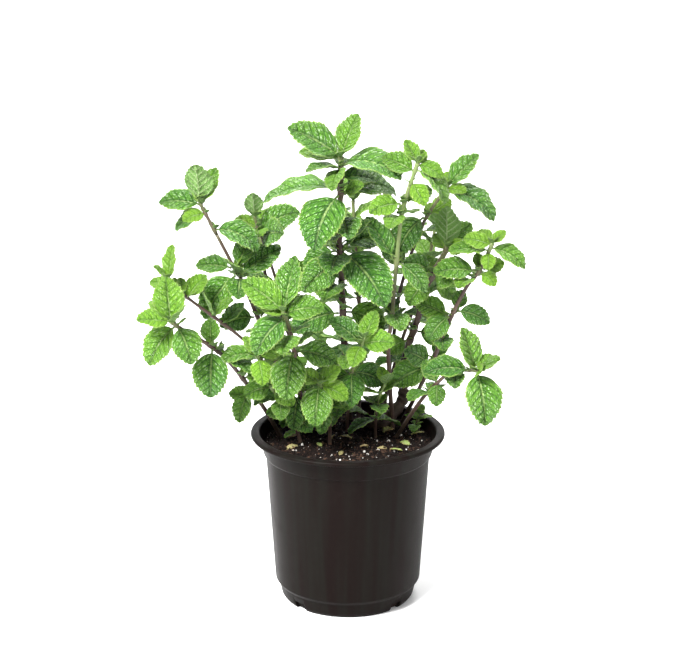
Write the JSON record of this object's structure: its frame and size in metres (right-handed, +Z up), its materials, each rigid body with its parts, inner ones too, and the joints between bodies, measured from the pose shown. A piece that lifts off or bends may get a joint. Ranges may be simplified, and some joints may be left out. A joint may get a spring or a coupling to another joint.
{
  "type": "potted mint plant",
  "caption": "Bushy mint plant with serrate, deeply veined leaves on square stems, growing in a round black nursery pot filled with potting mix.",
  "frame": {"origin": "centre of the pot's underside, on the surface that the pot stands on", "axes": "+Z up along the pot's axis; -Y is the front that the picture shows; +X is to the right as seen from the front"},
  "size_m": [0.2667, 0.1827, 0.3553],
  "materials": {
    "pot_plastic": "satin",
    "potting_mix": "matte",
    "woody_stem": "matte",
    "brown_stem": "satin",
    "green_stem": "satin",
    "mint_leaf": "satin"
  },
  "bodies": {
    "root": {"back_left_stem": "brown_stem", "back_left_tip": "mint_leaf", "back_middle_stem": "brown_stem", "back_middle_tip": "mint_leaf", "back_right_stem": "brown_stem", "back_right_tip": "mint_leaf", "centre_leaves_1": "mint_leaf", "centre_leaves_2": "mint_leaf", "centre_leaves_3": "mint_leaf", "centre_stem": "brown_stem", "centre_tip": "mint_leaf", "cut_stub_1": "woody_stem", "dark_right_leaves_1": "mint_leaf", "dark_right_leaves_2": "mint_leaf", "dark_right_stem": "brown_stem", "dark_right_tip": "mint_leaf", "far_left_stem": "brown_stem", "far_left_tip": "mint_leaf", "far_right_leaves_1": "mint_leaf", "far_right_leaves_2": "mint_leaf", "far_right_leaves_3": "mint_leaf", "far_right_stem": "brown_stem", "far_right_tip": "mint_leaf", "front_left": "mint_leaf", "front_low_stem": "green_stem", "front_low_tip": "mint_leaf", "left_inner_stem": "green_stem", "left_inner_tip": "mint_leaf", "left_low_leaves_1": "mint_leaf", "left_low_leaves_2": "mint_leaf", "left_low_stem": "brown_stem", "left_low_tip": "mint_leaf", "left_rosette_leaves_1": "mint_leaf", "left_rosette_leaves_2": "mint_leaf", "left_rosette_stem": "brown_stem", "left_rosette_tip": "mint_leaf", "left_tall_leaves_1": "mint_leaf", "left_tall_leaves_2": "mint_leaf", "left_tall_stem": "brown_stem", "left_tall_tip": "mint_leaf", "low_inner": "mint_leaf", "low_left": "mint_leaf", "low_middle": "mint_leaf", "low_right_stem": "brown_stem", "low_right_tip": "mint_leaf", "middle_stem": "green_stem", "middle_tip": "mint_leaf", "pale_right_leaves_1": "mint_leaf", "pale_right_leaves_2": "mint_leaf", "pale_right_stem": "green_stem", "pale_right_tip": "mint_leaf", "pot": "pot_plastic", "potting_soil": "potting_mix", "right_thick_leaves_1": "mint_leaf", "right_thick_leaves_2": "mint_leaf", "right_thick_stem": "brown_stem", "right_thick_tip": "mint_leaf", "sprout_left": "mint_leaf", "sprout_right": "mint_leaf", "woody_crown": "woody_stem"}
  },
  "joints": []
}
